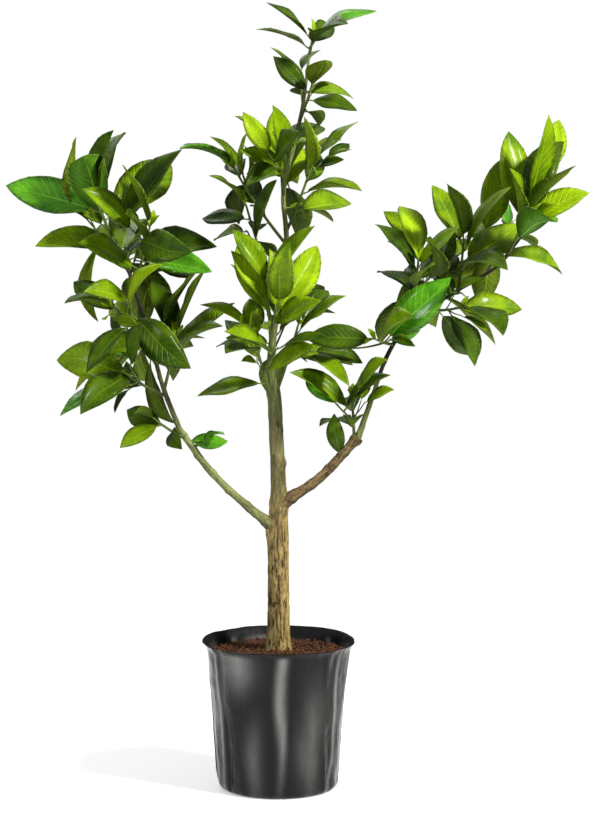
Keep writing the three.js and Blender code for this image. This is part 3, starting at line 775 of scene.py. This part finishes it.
MASSES = {
    "left_top": mass(
        "left_limb", 1, (-192, 0, 634), 7, 2, 108, 447, "deep mid mid deep mid bright",
        start=0.2, wide=1.45, droop=0
    ),
    "left_top_right": mass(
        "left_limb", 0.9, (-138, -36, 618), 6, 1, 96, 270, "mid bright deep mid deep mid", wide=1.2, droop=0
    ),
    "left_top_back": mass("left_limb", 0.84, (-176, 55, 612), 6, 2, 86, 624, "deep mid"),
    "left_mid": mass(
        "left_limb", 0.6, (-177, -34, 532), 5, 1, 76, 185, "mid deep lime deep deep deep mid",
        wide=1.25, narrow=0.6
    ),
    "left_inner": mass(
        "left_limb", 0.3, (-112, -6, 500), 5, 1, 84, 288, "deep mid deep", wide=1.05, narrow=0.35
    ),
    "left_back": mass("left_limb", 0.45, (-157, 60, 506), 6, 2, 82, 381, "deep mid", droop=0.2),
    "left_low": mass(
        "left_limb", 0.26, (-172, -20, 464), 6, 1, 90, 212, "deep bright mid deep", wide=1.1, narrow=0.5
    ),
    "left_foot": mass(
        "left_bough", 0.93, (-133, -26, 410), 4, 0, 56, 473, "deep deep mid", start=0.5, droop=0.5
    ),
    "left_bract": mass(
        "left_bough", 0.86, (-84, -12, 386), 1, 0, 38, 688, "bright", start=1, wide=0.2, droop=0
    ),
    "centre_low_left": mass("trunk", 0.41, (-28, -24, 508), 6, 1, 74, 409, "mid lime mid deep", narrow=0.7),
    "centre_low_right": mass("trunk", 0.42, (22, -14, 513), 6, 1, 80, 898, "mid mid deep", narrow=0.6),
    "centre_low_front": mass(
        "trunk", 0.47, (-11, -34, 556), 7, 1, 80, 111, "mid lime lime mid",
        wide=1.05, narrow=0.25, droop=-0.1
    ),
    "centre_low_back": mass("trunk", 0.45, (-3, 50, 540), 7, 2, 78, 705, "mid deep lime"),
    "centre_side": mass("trunk", 0.57, (-35, -8, 644), 6, 1, 74, 122, "deep deep mid", droop=0.45),
    "centre_high_left": mass(
        "trunk", 0.66, (-48, 4, 684), 6, 2, 68, 81, "mid mid deep bright deep deep", wide=1.4, narrow=0.5
    ),
    "centre_high_right": mass(
        "trunk", 0.68, (37, -12, 687), 6, 1, 76, 23, "mid mid deep lime mid", wide=1.4, narrow=0.5
    ),
    "centre_high_mid": mass(
        "trunk", 0.74, (10, -32, 704), 7, 1, 68, 269, "mid lime mid deep deep lime",
        wide=1.1, narrow=0.15, droop=-0.2
    ),
    "centre_high_back": mass("trunk", 0.66, (2, 48, 700), 7, 2, 74, 378, "mid deep lime"),
    "top_low": mass("trunk", 0.87, (36, -20, 770), 5, 0, 66, 96, "deep deep deep mid", droop=0.5),
    "top_back": mass("trunk", 0.91, (24, 28, 792), 4, 0, 60, 793, "mid deep"),
    "top_mass": mass(
        "trunk", 1, (38, 0, 826), 5, 0, 66, 842, "mid deep deep deep bright", wide=1.4, narrow=0.6, droop=0
    ),
    "right_foot": mass(
        "right_bough", 0.95, (81, -22, 434), 6, 1, 68, 158, "deep deep mid mid mid deep bright", wide=1.2
    ),
    "right_low": mass("right_limb", 0.38, (106, -30, 498), 5, 1, 90, 385, "bright mid deep", narrow=0.7),
    "right_fork": mass(
        "right_limb", 0.5, (153, -12, 582), 7, 1, 74, 496, "deep mid deep deep mid lime", narrow=0.35
    ),
    "right_mid": mass(
        "right_limb", 0.68, (203, -6, 604), 7, 1, 80, 63, "deep mid mid mid", wide=1.15, narrow=0.25
    ),
    "right_mid_back": mass("right_limb", 0.56, (182, 58, 583), 6, 2, 78, 336, "deep mid"),
    "right_under": mass(
        "right_limb", 0.56, (196, -34, 532), 5, 0, 90, 303, "deep deep mid",
        wide=1.2, narrow=0.5, droop=0.35
    ),
    "right_top_left": mass(
        "right_limb", 0.9, (270, -16, 634), 8, 1, 94, 310, "bright mid lime mid mid deep mid",
        wide=1.05, narrow=0.2, droop=-0.1
    ),
    "right_top": mass(
        "right_limb", 1, (294, 0, 672), 2, 0, 74, 328, "lime", start=0.75, wide=0.4, narrow=0.1, droop=-0.1
    ),
    "right_top_back": mass("right_limb", 0.78, (255, 48, 616), 6, 1, 78, 96, "mid deep bright"),
}
GOLDEN_ANGLE = math.radians(137.5)
LIGHT = np.array([-0.1, -1.1, 0.25])
UP = np.array([0, 0, 1])
STEM_STEPS = 12
STEM_SAG = 0.08
STEM_RADII = (1.9, 1.2)
TWIG_FIRST = 0.3
TWIG_ZONE = 0.45
TWIG_LEAN = 0.75
TWIG_SHARE = 0.42
TWIG_LEAVES = 3
TWIG_LEAVES_FROM = 0.5
TWIG_STEPS = 4
TWIG_RADII = (1.3, 0.9)
LEAF_TRIES = 3
TAPER = 0.12
VARIES = 0.2
DROOP_VARIES = 0.15
ROLL = 0.5
# mean and how far a leaf varies from it
CURL = (0.45, 0.35)
FOLD = (0.38, 0.2)
STALK = 0.13
HALF_WIDTH = 0.235
SAMPLE_ROWS = 9
INNER_SAMPLES = 16
CLEAR_OF_LIMBS = 3
CLEAR_OF_OTHERS = 8.5
CLEAR_OF_OWN = 5
CLEAR_OF_SOIL = 20
FOOT_ZONE = 14


def generator(seed):
    """Numbers from -1 to 1: each state is 1664525 times the last plus 1013904223, modulo 2^32."""
    state = seed

    def vary():
        nonlocal state
        state = (1664525 * state + 1013904223) % 2**32
        return 2 * state / 2**32 - 1

    for _ in range(3):
        vary()
    return vary


def bend(a, b, c, steps):
    """Curve (1 - t)^2 a + 2t(1 - t) b + t^2 c from a to c, drawn towards b."""
    t = np.linspace(0, 1, steps + 1)[:, None]
    return (1 - t) ** 2 * a + 2 * t * (1 - t) * b + t**2 * c


def along(path, share):
    """The point at a share of the way along a path, and the heading there."""
    k = share * (len(path) - 1)
    i = min(int(k), len(path) - 2)
    step = path[i + 1] - path[i]
    return path[i] + step * (k - i), unit(step)


def turned(heading, lean, turn):
    """A heading leaned over by one angle and turned about its old self by the other."""
    a, b = square_to(heading)
    return math.cos(lean) * heading + math.sin(lean) * (math.cos(turn) * a + math.sin(turn) * b)


def half_width(t):
    """Half the blade's width as a share of its length: 0.235 sin(pi t^0.92)^(0.72 + 0.2 t)."""
    return HALF_WIDTH * np.sin(np.pi * t**0.92) ** (0.72 + 0.2 * t)


def blade(leaf, t, across):
    """Points (rows, across, 3) of a blade that arches back by its curl and folds up along its midrib."""
    t, across = np.asarray(t, float), np.asarray(across, float)
    face, heading, length = leaf["face"], leaf["heading"], leaf["length"]
    angle = leaf["curl"] * t
    ahead = length * np.sin(angle) / leaf["curl"]
    back = length * (1 - np.cos(angle)) / leaf["curl"]
    rib = leaf["base"] + ahead[:, None] * heading - back[:, None] * face
    up = np.cos(angle)[:, None] * face + np.sin(angle)[:, None] * heading
    side = np.cross(face, heading)
    width = length * half_width(t)
    out = (width[:, None] * across)[..., None] * math.cos(leaf["fold"]) * side
    rise = (width[:, None] * abs(across))[..., None] * math.sin(leaf["fold"]) * up[:, None]
    return rib[:, None] + out + rise


def leaf_samples(leaf):
    """The middle of the stalk, then rows of points over the blade."""
    t = 0.97 * np.arange(1, SAMPLE_ROWS + 1) / SAMPLE_ROWS
    stalk = (leaf["root"] + leaf["base"]) / 2
    return np.vstack([stalk, blade(leaf, t, [-1, -0.5, 0, 0.5, 1]).reshape(-1, 3)])


def nearest(points, others):
    """The least distance between two groups of points."""
    return np.sqrt(((points[:, None] - others[None]) ** 2).sum(-1).min())


def touches_limb(points, foot, own):
    """Whether points come near a limb; those round the foot don't count against the limb that carries it."""
    for name, line in LINES.items():
        tested = points[np.linalg.norm(points - foot, axis=1) > FOOT_ZONE] if name == own else points
        if len(tested):
            apart = np.linalg.norm(tested[:, None] - line[None, :, :3], axis=-1)
            if (apart - line[:, 3]).min() < CLEAR_OF_LIMBS:
                return True
    return False


def stem_of(limb, at, tip, **_):
    """A mass's stem: a curve from its limb to its tip that sags a little."""
    foot, _ = along(LINES[limb][:, :3], at)
    tip = np.array(tip, float)
    middle = (foot + tip) / 2 - STEM_SAG * np.linalg.norm(tip - foot) * UP
    return bend(foot, middle, tip, STEM_STEPS)


def new_leaf(root, growth, length, lean, turn, droop, vary):
    """A leaf that stands off its shoot by lean, hangs by droop and turns its face to the light."""
    heading = unit(turned(growth, lean, turn) - (droop + DROOP_VARIES * vary()) * UP)
    level = unit(growth - heading * (heading @ growth)) + LIGHT
    level = unit(level - heading * (level @ heading))
    roll = ROLL * vary()
    face = math.cos(roll) * level + math.sin(roll) * np.cross(heading, level)
    curl = CURL[0] + CURL[1] * vary()
    fold = FOLD[0] + FOLD[1] * vary()
    return {
        "root": root, "base": root + STALK * length * heading, "heading": heading, "face": face,
        "length": length, "curl": curl, "fold": fold,
    }


def grow(limb, at, tip, leaves, twigs, leaf, seed, start, wide, narrow, droop, tints, others):
    """One mass by its seeded rule: side twigs off the stem, then leaves in a golden-angle spiral up each
    shoot; a twig or leaf that would come near a limb or what belongs to the others is skipped."""
    vary = generator(seed)
    stem = stem_of(limb, at, tip)
    foot = stem[0]
    shoots = [(stem, leaves, start)]
    own = [stem[2:]]
    spin = math.pi * vary()
    for i in range(twigs):
        point, heading = along(stem, TWIG_FIRST + TWIG_ZONE * (i + 0.5) / twigs)
        out = turned(heading, TWIG_LEAN + VARIES * vary(), spin + GOLDEN_ANGLE * (i + 0.5))
        span = TWIG_SHARE * leaf * (1 + VARIES * vary())
        path = bend(point, point + 0.5 * span * out, point + span * out + 0.15 * span * UP, TWIG_STEPS)
        if touches_limb(path[1:], foot, limb) or nearest(path, others) < CLEAR_OF_OTHERS:
            continue
        shoots.append((path, TWIG_LEAVES, TWIG_LEAVES_FROM))
        own.append(path[1:])
    grown = []
    for path, count, first in shoots:
        spin = math.pi * vary()
        for j in range(count):
            share = j / max(count - 1, 1)
            root, growth = along(path, first + (1 - first) * share)
            length = leaf * (1 - TAPER * share) * (1 + VARIES * vary())
            for tries in range(LEAF_TRIES):
                lean = wide + (narrow - wide) * share + 0.22 * vary()
                turn = spin + GOLDEN_ANGLE * j + 0.3 * vary() + 0.5 * tries
                candidate = new_leaf(root, growth, length, lean, turn, droop, vary)
                samples = leaf_samples(candidate)
                outer = samples[INNER_SAMPLES:]
                if samples[:, 2].min() < SOIL_LEVEL + CLEAR_OF_SOIL or touches_limb(samples, foot, limb):
                    continue
                if nearest(samples, others) < CLEAR_OF_OTHERS:
                    continue
                if nearest(outer, np.vstack(own)) < CLEAR_OF_OWN:
                    continue
                own.append(outer)
                candidate["tint"] = tints[len(grown) % len(tints)]
                candidate["samples"] = samples
                grown.append(candidate)
                break
    return [shoot[0] for shoot in shoots], grown


# finer shoots on the stem of a mass that has at least so many leaves
FINE_SHOOTS = 2
BUSHY = 5

stems = {name: stem_of(**kind) for name, kind in MASSES.items()}
laid = []
shoots, leaves = [], []
for name, kind in MASSES.items():
    others = np.vstack([*(stem for other, stem in stems.items() if other != name), *laid])
    paths, grown = grow(**kind, others=others)
    laid += [leaf["samples"] for leaf in grown] + [path[1:] for path in paths[1:]]
    shoots.append((paths[0], STEM_RADII, kind["tints"], FINE_SHOOTS if kind["leaves"] >= BUSHY else 0))
    shoots += [(path, TWIG_RADII, kind["tints"], 0) for path in paths[1:]]
    leaves += grown

# The finer growth
# Short side shoots with small leaves fill the masses in, a tuft of the youngest leaves stands on the tip
# of each bushy stem, and two lone leaves grow straight out of the boughs' bark.
FINE_SEED = 7000
FINE_LEAVES = 3
FINE_ZONE = (0.45, 0.9)
FINE_LEAN = 0.85
FINE_SPAN = (16, 30)
FINE_LENGTH = (22, 36)
FINE_RADII = (0.85, 0.6)
FINE_CLEAR = 5
TUFT_SEED = 9000
TUFT_LEAVES = 3
TUFT_LENGTH = (9, 20)
TUFT_LEAN = 0.35
TUFT_TURN = 2.1
TUFT_DROOP = -0.1
LONE_LEAVES = [
    # limb, how far along it, heading, face, length and tint
    ("left_bough", 0.92, (0.97, -0.2, 0.02), (0.1, -1, 0.3), 40, "bright"),
    ("right_bough", 0.76, (-0.14, -0.25, 0.95), (-0.15, -1, 0.1), 44, "deep"),
]
LONE_CURL = 0.3
LONE_FOLD = 0.2


occupied = np.vstack([*stems.values(), *laid])
fine, young = [], []
for index, (path, _, tints, finer) in enumerate(shoots):
    vary = generator(FINE_SEED + index)
    for _ in range(finer):
        root, growth = along(path, between(FINE_ZONE, abs(vary())))
        out = turned(growth, FINE_LEAN + 0.25 * vary(), math.pi * vary())
        span = between(FINE_SPAN, abs(vary()))
        twig = bend(root, root + 0.5 * span * out, root + span * out + 0.25 * span * UP, 3)
        apart = np.linalg.norm(occupied[None] - twig[2:, None], axis=-1).min()
        if touches_limb(twig[1:], path[0], None) or apart < FINE_CLEAR:
            continue
        new = []
        for j in range(FINE_LEAVES):
            at, growth = along(twig, 0.5 + 0.25 * j)
            length = between(FINE_LENGTH, abs(vary()))
            lean = 1.0 - 0.3 * j + 0.15 * vary()
            leaf = new_leaf(at, growth, length, lean, GOLDEN_ANGLE * j + vary(), 0, vary)
            samples = leaf_samples(leaf)
            clear = nearest(samples[INNER_SAMPLES:], occupied) > FINE_CLEAR
            if clear and not touches_limb(samples, path[0], None):
                new.append({**leaf, "tint": tints[j % len(tints)], "samples": samples})
        if new:
            fine.append((twig, FINE_RADII, tints, 0))
            young += new
            occupied = np.vstack([occupied, twig[1:], *(leaf["samples"] for leaf in new)])
for index, (path, _, _, finer) in enumerate(shoots):
    vary = generator(TUFT_SEED + index)
    tip, growth = along(path, 1)
    for j in range(TUFT_LEAVES if finer else 0):
        length = between(TUFT_LENGTH, abs(vary()))
        lean = TUFT_LEAN + VARIES * vary()
        leaf = new_leaf(tip, growth, length, lean, TUFT_TURN * j + vary(), TUFT_DROOP, vary)
        young.append({**leaf, "tint": "lime"})
for limb, at, heading, face, length, leaf_tint in LONE_LEAVES:
    root, _ = along(LINES[limb][:, :3], at)
    heading = unit(np.array(heading))
    face = unit(np.array(face) - heading * (heading @ np.array(face)))
    young.append({
        "root": root, "base": root + STALK * length * heading, "heading": heading, "face": face,
        "length": length, "curl": LONE_CURL, "fold": LONE_FOLD, "tint": leaf_tint,
    })

# The leaves
# Each blade is glossy above and dull below, with a pale midrib, faint side veins, painted shade at its foot
# and between its side veins, and a pale edge that is partly painted highlight. Old leaves are dark, young
# ones lime; all of a tint are one mesh of closed skins, upper side and underside apart.
STATIONS = np.array([0, 0.05, 0.13, 0.22, 0.32, 0.43, 0.54, 0.65, 0.76, 0.86, 0.94, 1])
ACROSS = np.array([1, 0.5, 0, -0.5, -1, 0])
LIFT = (0, 0.4, 0.4, 0.4, 0, -0.6)
BLADE_THICKNESS = 0.5
STALK_RADII = (1.0, 0.75)
BLADE_FOOT = 0.8
BLADE_TIP = 0.12
SWELLING = 0.05
TOOTH = 0.007
FULL_SIZE = 60


def leaf_rings(leaf, index):
    """Rings (stations, 6, 3) round a leaf: over its upper side from edge to edge, then the midrib below.
    The folded blade ripples, is toothed along its edges and sways, and each half swells by 4a(1 - a)."""
    chance = np.random.default_rng(index)
    ripple, phase, sway = chance.uniform(0.03, 0.13), chance.uniform(0, 6.3), chance.normal(0, 0.05)
    t = STATIONS
    face, heading, length, curl = leaf["face"], leaf["heading"], leaf["length"], leaf["curl"]
    angle = (curl * t)[:, None]
    side = np.cross(face, heading)
    rib = leaf["base"] + length * (np.sin(angle) * heading - (1 - np.cos(angle)) * face) / curl
    rib = rib + (sway * length * np.sin(math.pi * t) * t)[:, None] * side
    up = np.cos(angle) * face + np.sin(angle) * heading
    teeth = 1 + TOOTH * (-1.0) ** np.arange(len(t))
    least = np.where(t < 0.5, BLADE_FOOT, BLADE_TIP)
    width = np.maximum(length * half_width(t) * teeth, least)[:, None]
    across = ACROSS[None]
    size = abs(across)
    waves = ripple * np.sin(9 * t[:, None] + phase + 2 * (across > 0))
    rise = width * (size * (math.sin(leaf["fold"]) + waves) + SWELLING * 4 * size * (1 - size))
    lift = BLADE_THICKNESS * min(length / FULL_SIZE, 1) * np.array(LIFT)
    out = (width * across * math.cos(leaf["fold"]))[..., None] * side
    return rib[:, None] + out + (rise + lift)[..., None] * up[:, None]


# for each face of a leaf, 1 on the underside, and for each of its points, its place on the blade
LEAF_KINDS = [0, 0, 0, 0, 1, 1] * (len(STATIONS) - 1) + [0] * 2 * len(ACROSS)
RING_UV = np.stack([np.tile((ACROSS + 1) / 2, len(STATIONS)), np.repeat(STATIONS, len(ACROSS))], -1)
LEAF_UV = np.vstack([RING_UV, [[0.5, 0], [0.5, 1]]])

# painted highlight along the leaves' edges, on a slightly paler margin
PALE_EDGE_AND_HIGHLIGHT = tint(0.36, 0.47, 0.1)
VEINS = 11


def leaf_look(upper, mottled, rib, gloss, coat, under=False):
    """Blade of two like greens, darkened by painted shade at its foot and between the side veins, with a pale
    midrib that fades to the tip, thin pale side veins that slant to the tip, and a pale edge that is partly
    the leaf's own paler margin and partly painted highlight."""

    def look(s):
        place = s.add("ShaderNodeUVMap", {"uv_map": "blade"})
        across = abs(s.add("ShaderNodeSeparateXYZ", {}, {"Vector": place}, "X") * 2 - 1)
        run = s.add("ShaderNodeSeparateXYZ", {}, {"Vector": place}, "Y")
        vein = abs(s.math("FRACT", run * VEINS - across * 2.4) * 2 - 1)
        mottle = s.noise(38, roughness=0.6)
        dents = s.noise(55, detail=0)
        blade_colour = mottle.ramp(0.34, 0.64).mix(upper, mottled)
        # painted shade: a darker green for the blade's foot and the strips between its side veins
        shade_green = tint(*(0.35 * v for v in upper[:3]))
        foot_shaded = (run.ramp(0.5, 0) * 0.55).mix(blade_colour, shade_green)
        shaded = (vein.ramp(0.75, 0) * mottle * 0.5).mix(foot_shaded, shade_green)
        veined = (vein.ramp(0.84, 1) * (0.4 if under else 0.17)).mix(shaded, rib)
        ribbed = (across.ramp(0.055, 0.02) * (0.9 - 0.6 * run)).mix(veined, rib)
        bumps = vein.ramp(0.7, 1) * (0.9 if under else -0.8) + dents * 1.2
        return {
            "Base Color": (across.ramp(0.91, 1) * 0.45).mix(ribbed, PALE_EDGE_AND_HIGHLIGHT),
            "Roughness": gloss + 0.14 * mottle,
            "Coat Weight": 0.0 if under else coat,
            "Coat Roughness": 0.16,
            "Specular IOR Level": 0.09,
            "Normal": s.heights(bumps, 0.0008, 0.8),
        }

    return look


TINTS = {
    # upper side, its mottling, midrib and underside
    "deep": ((0.02, 0.056, 0.001), (0.08, 0.155, 0.002), (0.14, 0.24, 0.012), (0.085, 0.145, 0.007)),
    "mid": ((0.088, 0.185, 0.001), (0.265, 0.43, 0.002), (0.34, 0.54, 0.014), (0.165, 0.255, 0.012)),
    "lime": ((0.21, 0.36, 0.002), (0.4, 0.6, 0.004), (0.5, 0.72, 0.03), (0.27, 0.4, 0.016)),
    "bright": ((0.035, 0.2, 0.003), (0.14, 0.46, 0.012), (0.26, 0.6, 0.03), (0.09, 0.25, 0.012)),
}
# roughness and clear coat of the waxy skin
GLOSS = {"deep": (0.34, 0.1), "mid": (0.36, 0.1), "lime": (0.42, 0.05), "bright": (0.3, 0.4)}


def joined(skins):
    """The points and the faces of one mesh that holds many skins, given as pairs of points and faces."""
    faces = []
    start = 0
    for points, sides in skins:
        faces += [[corner + start for corner in side] for side in sides]
        start += len(points)
    return np.vstack([points for points, _ in skins]), faces


def leaf_piece(name, group, tones, gloss):
    """One mesh of all leaves of a tint, each a closed skin over its rings, upper side and underside apart."""
    upper, mottled, rib, under = (tint(*tone) for tone in tones)
    dark_under = tint(*(0.6 * v for v in tones[3]))
    finishes = [
        finish_of(f"{name}_upper_side", leaf_look(upper, mottled, rib, *gloss)),
        finish_of(f"{name}_underside", leaf_look(under, dark_under, rib, 0.5, 0, under=True)),
    ]
    points, faces = joined([closed_skin(leaf_rings(leaf, index)) for index, leaf in enumerate(group)])
    uv = np.tile(LEAF_UV, (len(group), 1))
    make_piece(name, points, faces, finishes, uv=uv, kinds=LEAF_KINDS * len(group))


for name, tones in TINTS.items():
    group = [leaf for leaf in leaves + young if leaf["tint"] == name]
    leaf_piece(f"{name}_leaves", group, tones, GLOSS[name])

# The stems, twigs and stalks
# Smooth green shoots, browner on the older ones and towards their feet, in one mesh that stands for the
# masses' solids. Each leaf's stalk bends off its shoot, and a bud sits in the angle above it.
AGE_OF = {"deep": 0.8, "mid": 0.5, "lime": 0.15, "bright": 0.5}
FOOT_OLDER = 0.3
TIP_SHARE = 0.4
STALK_SAG = 0.4
STALK_INTO_BLADE = 1.2
BUD_SIZE = np.array([0.9, 0.9, 1.5])
BUD_ALONG = 1.8
BUD_RISE = 0.9
BUD_SEED = 77


def shoot_look(s):
    """Green twig bark, browner and darker where the attribute age is 1."""
    age = s.attribute("age")
    streaks = s.noise(300, (1, 1, 0.2))
    green = streaks.mix(tint(0.09, 0.15, 0.02), tint(0.2, 0.3, 0.05))
    brown = streaks.mix(tint(0.02, 0.026, 0.006), tint(0.075, 0.08, 0.022))
    return {
        "Base Color": age.mix(green, brown),
        "Roughness": 0.5,
        "Specular IOR Level": 0.2,
        "Normal": s.heights(streaks, 0.0005, 0.6),
    }


def shoot_skin(path, radii, ages, sides=8):
    """Points and faces of a shoot, and its ages: its radius and age change evenly from foot to tip."""
    share = np.linspace(0, 1, len(path))
    points, faces = closed_skin(round_rings(path, between(radii, share), sides))
    age = np.repeat(between(ages, share), sides)
    return points, faces, np.concatenate([age, ages])


skins = []
for path, radii, tints, _ in shoots + fine:
    age = AGE_OF[tints[0]]
    ages = (min(age + FOOT_OLDER, 1), age * TIP_SHARE)
    skins.append(shoot_skin(even_curve(path, 3 * (len(path) - 1)), radii, ages))
for leaf in leaves + young:
    middle = (leaf["root"] + leaf["base"]) / 2 - STALK_SAG * leaf["face"]
    stalk = bend(leaf["root"], middle, leaf["base"], 4)
    stalk = np.vstack([stalk, leaf["base"] + STALK_INTO_BLADE * leaf["heading"]])
    scale = min(leaf["length"] / FULL_SIZE, 1) ** 0.6
    skins.append(shoot_skin(stalk, [scale * radius for radius in STALK_RADII], (0, 0), 6))
points, faces = joined([(points, faces) for points, faces, _ in skins])
values = {"age": np.concatenate([ages for *_, ages in skins])}
twig_finish = finish_of("green_twig", shoot_look)
make_piece("green_shoots", points, faces, [twig_finish], MASSES, values=values)

places = np.array([leaf["root"] + BUD_ALONG * leaf["heading"] + BUD_RISE * UP for leaf in leaves])
points, faces = strew(places, np.tile(BUD_SIZE, (len(leaves), 1)), BUD_SEED)
make_piece("leaf_buds", points, faces, [twig_finish], values={"age": np.zeros(len(points))})

# The light and the floor
# A white paper disc that fades out into a white sky. The sky gives light from above and little from
# the sides, so that leaves and film keep their shade, and three soft lamps do the rest.
FLOOR_RADIUS = 1.6
FLOOR_SIDES = 64
FLOOR_FADE = (1.5, 0.7)
SKY_LEVEL = 0.12
SKY_TOP = 0.45
SKY_RISE = (0, 0.7)
LAMPS = {
    # place and aim in metres, size in metres, watts, colour
    "key_lamp": ((2.05, -1.45, 2.2), (0, 0, 0.5), 0.5, 140, (1, 0.98, 0.93)),
    "left_lamp": ((-2.1, -1.2, 1.2), (0, 0, 0.4), 0.8, 24, (0.97, 0.98, 1)),
    "rim_lamp": ((-0.8, 2, 2.6), (0, 0, 0.6), 1.6, 22, (1, 1, 1)),
}


def paper_look(s):
    """White paper lit from below, clear beyond the fade's end: 1 up to its start, straight down to 0."""
    apart = s.add("ShaderNodeVectorMath", {"operation": "LENGTH"}, {0: s.place()}, "Value")
    return {
        "Base Color": tint(0.9, 0.9, 0.9),
        "Roughness": 0.9,
        "Emission Color": tint(1, 1, 1),
        "Emission Strength": 0.35,
        "Alpha": apart.ramp(*FLOOR_FADE),
    }


turn = np.arange(FLOOR_SIDES) / FLOOR_SIDES
floor_mesh = bpy.data.meshes.new("paper_disc")
floor_mesh.from_pydata(round_z(FLOOR_RADIUS, turn, 0 * turn).tolist(), [], [list(range(FLOOR_SIDES))])
floor_mesh.materials.append(finish_of("white_paper", paper_look))
set_out("paper_disc", floor_mesh)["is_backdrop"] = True

for name, (place, aim, size, watts, colour) in LAMPS.items():
    lamp = bpy.data.lights.new(name, "AREA")
    lamp.shape = "DISK"
    lamp.size = size
    lamp.energy = watts
    lamp.color = colour
    holder = set_out(name, lamp)
    holder.location = place
    toward = np.array(aim, float) - np.array(place)
    pitch = math.atan2(math.hypot(toward[0], toward[1]), -toward[2])
    holder.rotation_euler = (pitch, 0, math.atan2(-toward[0], toward[1]))

world = bpy.data.worlds.new("studio_sky")
world.use_nodes = True
sky = Shade(world.node_tree)
heading = sky.add("ShaderNodeTexCoord", {}, {}, "Generated")
rise = sky.add("ShaderNodeVectorMath", {"operation": "DOT_PRODUCT"}, {0: heading, 1: (0, 0, 1)}, "Value")
light = between((SKY_LEVEL, SKY_TOP), rise.ramp(*SKY_RISE))
seen = sky.add("ShaderNodeLightPath", {}, {}, "Is Camera Ray")
strength = light + seen * (1 - light)
background = world.node_tree.nodes["Background"]
background.inputs["Color"].default_value = tint(1, 1, 1)
world.node_tree.links.new(strength.socket, background.inputs["Strength"])
bpy.context.scene.world = world
bpy.context.scene.view_settings.view_transform = "Standard"

boxes = {"solids": solids_box, "visual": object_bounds()}
boxes = {name: [list(corner) for corner in box] for name, box in boxes.items()}
